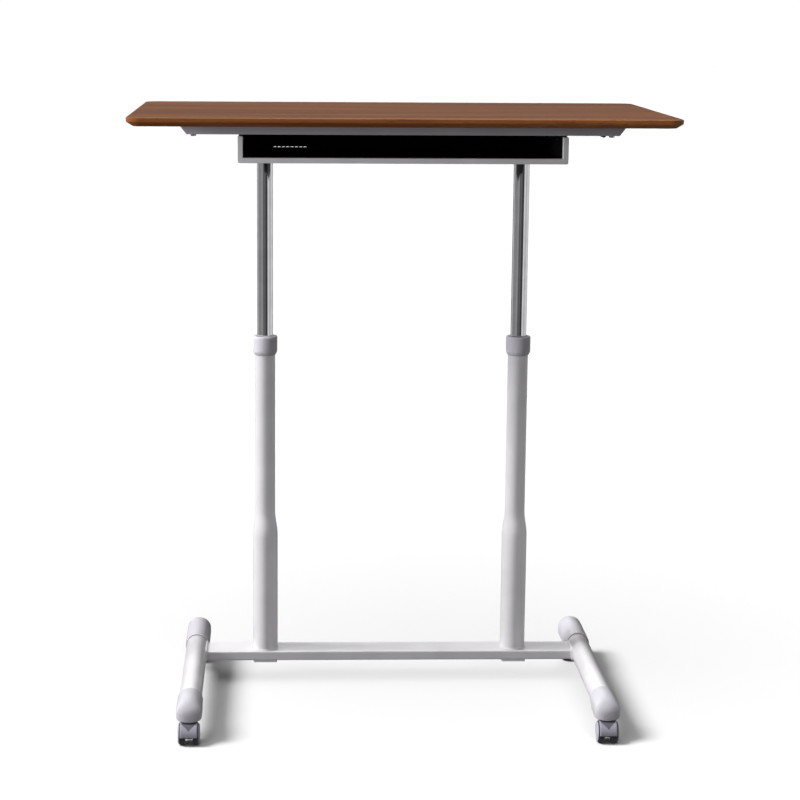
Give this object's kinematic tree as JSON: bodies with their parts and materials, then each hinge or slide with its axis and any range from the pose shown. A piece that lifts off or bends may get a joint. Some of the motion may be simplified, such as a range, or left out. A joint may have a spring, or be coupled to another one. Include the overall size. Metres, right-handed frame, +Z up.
{
  "type": "mobile sit-stand desk",
  "caption": "Height-adjustable standing desk: wooden top with a shallow under-top tray on telescopic gas-spring legs, C-shaped feet joined by a crossbar, swivel castors.",
  "frame": {"origin": "on the floor, under the centre of the desktop", "axes": "+Z up, +X to the user's right, +Y away from the user (the front edge is at -Y); drawn fully raised"},
  "size_m": [0.9524, 0.6, 1.122],
  "materials": {
    "wood_top": "satin-lacquered reddish-brown wood, grain along the width",
    "frame_paint": "satin grey powder coat",
    "silver_paint": "satin silver powder coat",
    "tray_black": "matt black powder coat",
    "bezel_grey": "satin grey powder coat",
    "chrome": "polished chrome plate",
    "light_plastic": "finely textured pale lavender-grey plastic",
    "caster_body": "smooth mid-grey nylon",
    "caster_tread": "dark nylon tread",
    "bright_steel": "bright zinc-plated steel",
    "gas_black": "semi-gloss black paint",
    "dark_plastic": "fine-textured dark plastic",
    "cable_sheath": "smooth black PVC sheath"
  },
  "bodies": {
    "base": {"crossbar": "silver_paint", "foot_tube_left": "silver_paint", "foot_tube_right": "silver_paint", "column_left": "silver_paint", "column_right": "silver_paint", "column_collar_left": "light_plastic", "column_collar_right": "light_plastic", "column_base_plates": "silver_paint", "base_bolts": "bright_steel", "gas_cylinder_left": "gas_black", "gas_cylinder_right": "gas_black", "front_foot_cap_left": "light_plastic", "front_foot_cap_right": "light_plastic", "rear_foot_cap_left": "light_plastic", "rear_foot_cap_right": "light_plastic", "caster_sockets": "dark_plastic"},
    "top": {"tabletop": "wood_top", "front_rail": "frame_paint", "rear_rail": "frame_paint", "frame_arm_left": "frame_paint", "frame_arm_right": "frame_paint", "leg_sockets": "frame_paint", "chrome_tube_left": "chrome", "chrome_tube_right": "chrome", "tube_stop_rings": "dark_plastic", "gas_rod_left": "bright_steel", "gas_rod_right": "bright_steel", "rod_nuts": "bright_steel", "release_brackets": "bright_steel", "rocker_pins": "bright_steel", "tray_shell": "tray_black", "tray_bezel": "bezel_grey", "tray_hangers": "tray_black", "frame_screws": "bright_steel", "tabletop_screws": "bright_steel", "lever_housing": "dark_plastic", "lever_pin": "bright_steel", "release_cables": "cable_sheath", "cable_clips": "dark_plastic"},
    "release_lever": {"release_lever": "dark_plastic"},
    "valve_rocker_left": {"valve_rocker_left": "dark_plastic"},
    "valve_pin_left": {"valve_pin_left": "bright_steel"},
    "valve_rocker_right": {"valve_rocker_right": "dark_plastic"},
    "valve_pin_right": {"valve_pin_right": "bright_steel"},
    "caster_front_left": {"caster_hood_front_left": "caster_body", "caster_spindle_front_left": "bright_steel"},
    "wheel_a_front_left": {"caster_wheel_a_front_left": "caster_tread"},
    "wheel_b_front_left": {"caster_wheel_b_front_left": "caster_tread"},
    "caster_front_right": {"caster_hood_front_right": "caster_body", "caster_spindle_front_right": "bright_steel"},
    "wheel_a_front_right": {"caster_wheel_a_front_right": "caster_tread"},
    "wheel_b_front_right": {"caster_wheel_b_front_right": "caster_tread"},
    "caster_rear_left": {"caster_hood_rear_left": "caster_body", "caster_spindle_rear_left": "bright_steel"},
    "wheel_a_rear_left": {"caster_wheel_a_rear_left": "caster_tread"},
    "wheel_b_rear_left": {"caster_wheel_b_rear_left": "caster_tread"},
    "caster_rear_right": {"caster_hood_rear_right": "caster_body", "caster_spindle_rear_right": "bright_steel"},
    "wheel_a_rear_right": {"caster_wheel_a_rear_right": "caster_tread"},
    "wheel_b_rear_right": {"caster_wheel_b_rear_right": "caster_tread"}
  },
  "joints": [
    {"name": "height", "type": "slide", "parent": "base", "child": "top", "axis": [0, 0, 1], "range_m": [-0.385, 0]},
    {"name": "lever", "type": "hinge", "parent": "top", "child": "release_lever", "pos_m": [0.33, -0.149, 1.1005], "axis": [0, -1, 0], "range_deg": [0, 12], "stiffness_Nm_per_rad": 1, "springref_deg": -5.73},
    {"name": "rocker_left", "type": "hinge", "parent": "top", "child": "valve_rocker_left", "pos_m": [-0.23, 0.112, 1.101], "axis": [0, -1, 0], "range_deg": [0, 10.7]},
    {"name": "valve_left", "type": "slide", "parent": "top", "child": "valve_pin_left", "axis": [0, 0, 1], "range_m": [-0.00243, 0]},
    {"name": "rocker_right", "type": "hinge", "parent": "top", "child": "valve_rocker_right", "pos_m": [0.256, 0.112, 1.101], "axis": [0, -1, 0], "range_deg": [0, 10.7]},
    {"name": "valve_right", "type": "slide", "parent": "top", "child": "valve_pin_right", "axis": [0, 0, 1], "range_m": [-0.00243, 0]},
    {"name": "swivel_front_left", "type": "hinge", "parent": "base", "child": "caster_front_left", "pos_m": [-0.378, -0.243, 0.045], "axis": [0, 0, 1], "continuous": true},
    {"name": "roll_a_front_left", "type": "hinge", "parent": "caster_front_left", "child": "wheel_a_front_left", "pos_m": [-0.378, -0.258, 0.02], "axis": [1, 0, 0], "continuous": true},
    {"name": "roll_b_front_left", "type": "hinge", "parent": "caster_front_left", "child": "wheel_b_front_left", "pos_m": [-0.378, -0.258, 0.02], "axis": [1, 0, 0], "continuous": true},
    {"name": "swivel_front_right", "type": "hinge", "parent": "base", "child": "caster_front_right", "pos_m": [0.378, -0.243, 0.045], "axis": [0, 0, 1], "continuous": true},
    {"name": "roll_a_front_right", "type": "hinge", "parent": "caster_front_right", "child": "wheel_a_front_right", "pos_m": [0.378, -0.258, 0.02], "axis": [1, 0, 0], "continuous": true},
    {"name": "roll_b_front_right", "type": "hinge", "parent": "caster_front_right", "child": "wheel_b_front_right", "pos_m": [0.378, -0.258, 0.02], "axis": [1, 0, 0], "continuous": true},
    {"name": "swivel_rear_left", "type": "hinge", "parent": "base", "child": "caster_rear_left", "pos_m": [-0.378, 0.254, 0.045], "axis": [0, 0, 1], "continuous": true},
    {"name": "roll_a_rear_left", "type": "hinge", "parent": "caster_rear_left", "child": "wheel_a_rear_left", "pos_m": [-0.378, 0.239, 0.02], "axis": [1, 0, 0], "continuous": true},
    {"name": "roll_b_rear_left", "type": "hinge", "parent": "caster_rear_left", "child": "wheel_b_rear_left", "pos_m": [-0.378, 0.239, 0.02], "axis": [1, 0, 0], "continuous": true},
    {"name": "swivel_rear_right", "type": "hinge", "parent": "base", "child": "caster_rear_right", "pos_m": [0.378, 0.254, 0.045], "axis": [0, 0, 1], "continuous": true},
    {"name": "roll_a_rear_right", "type": "hinge", "parent": "caster_rear_right", "child": "wheel_a_rear_right", "pos_m": [0.378, 0.239, 0.02], "axis": [1, 0, 0], "continuous": true},
    {"name": "roll_b_rear_right", "type": "hinge", "parent": "caster_rear_right", "child": "wheel_b_rear_right", "pos_m": [0.378, 0.239, 0.02], "axis": [1, 0, 0], "continuous": true}
  ],
  "couplings": [
    {"joint": "rocker_left", "follows": "lever", "ratio": 0.88889},
    {"joint": "valve_left", "follows": "lever", "m_per_rad": -0.011556},
    {"joint": "rocker_right", "follows": "lever", "ratio": 0.88889},
    {"joint": "valve_right", "follows": "lever", "m_per_rad": -0.011556}
  ]
}
